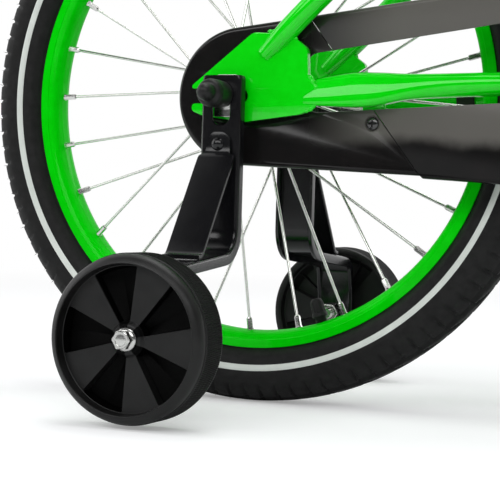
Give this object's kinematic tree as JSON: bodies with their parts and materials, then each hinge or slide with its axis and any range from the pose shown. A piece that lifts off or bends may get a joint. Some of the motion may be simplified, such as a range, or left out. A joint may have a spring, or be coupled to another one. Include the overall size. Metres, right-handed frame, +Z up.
{
  "type": "child's bicycle with stabilisers",
  "caption": "Small green bicycle with spoked wheels, a black chain guard, a coaster brake and black stabilisers on slotted brackets.",
  "frame": {"origin": "on the ground, at the middle of the machine's length and width", "axes": "+X forwards (longest extent), +Y to the rider's left, +Z up"},
  "size_m": [1.1322, 0.5116, 0.715],
  "materials": {
    "green_paint": "gloss",
    "tyre_rubber": "matt, block tread",
    "tube_rubber": "matt",
    "black_enamelled_steel": "gloss",
    "black_glossy_plastic": "gloss",
    "black_matt_plastic": "matt",
    "zinc_plated_steel": "bright zinc plate",
    "chain_steel": "oiled steel",
    "saddle_vinyl": "padded vinyl cover"
  },
  "bodies": {
    "frame": {"frame": "green_paint", "headset_lower_cup": "zinc_plated_steel", "headset_upper_cup": "zinc_plated_steel", "bottom_bracket_cup_right": "zinc_plated_steel", "bottom_bracket_cup_left": "zinc_plated_steel", "seat_collar": "black_enamelled_steel", "chain_guard_rear": "black_glossy_plastic", "chain_guard_front": "black_glossy_plastic", "chain_guard_screw": "black_enamelled_steel", "chain_guard_bracket": "zinc_plated_steel", "rear_axle": "zinc_plated_steel", "rear_axle_nut_right": "zinc_plated_steel", "rear_axle_nut_left": "zinc_plated_steel", "rear_axle_cap_right": "black_glossy_plastic", "rear_axle_cap_left": "black_glossy_plastic", "stabiliser_bracket_right": "black_enamelled_steel", "stabiliser_bracket_left": "black_enamelled_steel", "stabiliser_brace_right": "black_enamelled_steel", "stabiliser_brace_left": "black_enamelled_steel", "stabiliser_bolt_right": "zinc_plated_steel", "stabiliser_bolt_left": "zinc_plated_steel", "stabiliser_nut_right": "zinc_plated_steel", "stabiliser_nut_left": "zinc_plated_steel", "coaster_brake_arm": "zinc_plated_steel", "brake_arm_clip": "zinc_plated_steel", "chain": "chain_steel"},
    "rear_wheel": {"rear_tyre": "tyre_rubber", "rear_rim": "green_paint", "rear_spokes": "zinc_plated_steel", "rear_inner_tube": "tube_rubber", "rear_valve_cap": "black_matt_plastic"},
    "rear_sprocket": {"rear_sprocket": "chain_steel"},
    "fork": {"fork": "green_paint", "front_axle": "zinc_plated_steel", "front_axle_nut_right": "zinc_plated_steel", "front_axle_nut_left": "zinc_plated_steel"},
    "handlebar": {"stem": "zinc_plated_steel", "handlebar": "black_enamelled_steel", "grip_right": "black_matt_plastic", "grip_left": "black_matt_plastic"},
    "front_wheel": {"front_tyre": "tyre_rubber", "front_rim": "green_paint", "front_spokes": "zinc_plated_steel", "front_inner_tube": "tube_rubber", "front_valve_cap": "black_matt_plastic"},
    "crankset": {"bottom_bracket_spindle": "zinc_plated_steel", "chainring": "chain_steel", "crank_arm_right": "black_enamelled_steel", "crank_arm_left": "black_enamelled_steel", "crank_bolt_right": "zinc_plated_steel", "crank_bolt_left": "zinc_plated_steel"},
    "pedal_right": {"pedal_right": "black_matt_plastic"},
    "pedal_left": {"pedal_left": "black_matt_plastic"},
    "stabiliser_wheel_right": {"stabiliser_wheel_right": "black_glossy_plastic"},
    "stabiliser_wheel_left": {"stabiliser_wheel_left": "black_glossy_plastic"},
    "seat": {"seat_post": "zinc_plated_steel", "saddle_clamp": "black_enamelled_steel", "saddle_rails": "zinc_plated_steel", "saddle": "saddle_vinyl"}
  },
  "joints": [
    {"name": "rear_wheel_spin", "type": "hinge", "parent": "frame", "child": "rear_wheel", "pos_m": [-0.3725, 0, 0.1936], "axis": [0, 1, 0], "continuous": true},
    {"name": "crank_spin", "type": "hinge", "parent": "frame", "child": "crankset", "pos_m": [-0.10113, 0, 0.2036], "axis": [0, 1, 0], "continuous": true, "deforming": ["chain"]},
    {"name": "rear_sprocket_spin", "type": "hinge", "parent": "frame", "child": "rear_sprocket", "pos_m": [-0.3725, 0, 0.1936], "axis": [0, 1, 0], "continuous": true},
    {"name": "pedal_right_spin", "type": "hinge", "parent": "crankset", "child": "pedal_right", "pos_m": [0.00887, -0.107, 0.2036], "axis": [0, 1, 0], "continuous": true},
    {"name": "pedal_left_spin", "type": "hinge", "parent": "crankset", "child": "pedal_left", "pos_m": [-0.21113, 0.107, 0.2036], "axis": [0, 1, 0], "continuous": true},
    {"name": "stabiliser_wheel_right_spin", "type": "hinge", "parent": "frame", "child": "stabiliser_wheel_right", "pos_m": [-0.375, -0.1656, 0.0501], "axis": [0, 1, 0], "continuous": true},
    {"name": "stabiliser_wheel_left_spin", "type": "hinge", "parent": "frame", "child": "stabiliser_wheel_left", "pos_m": [-0.375, 0.1656, 0.0501], "axis": [0, 1, 0], "continuous": true},
    {"name": "steering", "type": "hinge", "parent": "frame", "child": "fork", "pos_m": [0.34431, 0, 0.18334], "axis": [-0.342, 0, 0.9397], "range_deg": [-90, 90]},
    {"name": "front_wheel_spin", "type": "hinge", "parent": "fork", "child": "front_wheel", "pos_m": [0.3725, 0, 0.1936], "axis": [0, 1, 0], "continuous": true},
    {"name": "handlebar_height", "type": "slide", "parent": "fork", "child": "handlebar", "axis": [-0.342, 0, 0.9397], "range_m": [-0.03, 0.025]},
    {"name": "seat_height", "type": "slide", "parent": "frame", "child": "seat", "axis": [-0.342, 0, 0.9397], "range_m": [-0.03, 0.05]}
  ],
  "couplings": [
    {"joint": "rear_sprocket_spin", "follows": "crank_spin", "ratio": 2}
  ]
}
